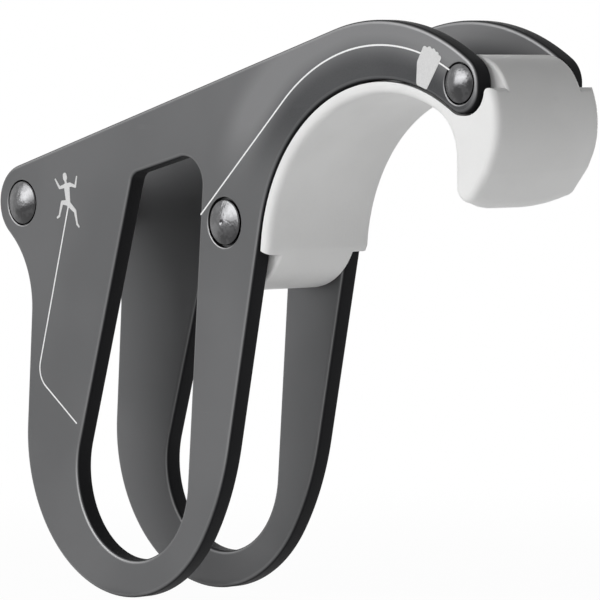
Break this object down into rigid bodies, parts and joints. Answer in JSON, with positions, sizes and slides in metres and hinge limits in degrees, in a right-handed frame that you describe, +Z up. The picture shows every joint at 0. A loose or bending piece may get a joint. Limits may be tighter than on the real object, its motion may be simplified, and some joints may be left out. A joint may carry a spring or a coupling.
{
  "type": "assisted braking belay device",
  "caption": "Riveted side plates with long carabiner loops and a moulded hook-shaped grip between them, which lead a climbing rope and pinch it against the carabiner.",
  "frame": {"origin": "middle of the carabiner loops' round lower ends, on the mid plane between the side plates, where the carabiner's bar lies", "axes": "+X along the device from the climber rivet to the finger hook, +Y square to the side plates from the front plate to the rear one, +Z up from the loops' lower ends to the rope channel"},
  "size_m": [0.1141, 0.0228, 0.0892],
  "materials": {
    "plate_aluminium": "satin dark grey anodised, with a fine grain and bright rounded edges",
    "grip_polyamide": "satin off-white moulding",
    "rivet_steel": "polished steel heads",
    "spacer_steel": "turned steel tube"
  },
  "bodies": {
    "root": {"front_side_plate": "plate_aluminium", "rear_side_plate": "plate_aluminium", "hook_grip": "grip_polyamide", "climber_rivet": "rivet_steel", "brake_rivet": "rivet_steel", "hook_rivet": "rivet_steel", "climber_spacer": "spacer_steel", "brake_sleeve": "spacer_steel", "hook_sleeve": "spacer_steel"}
  },
  "joints": []
}
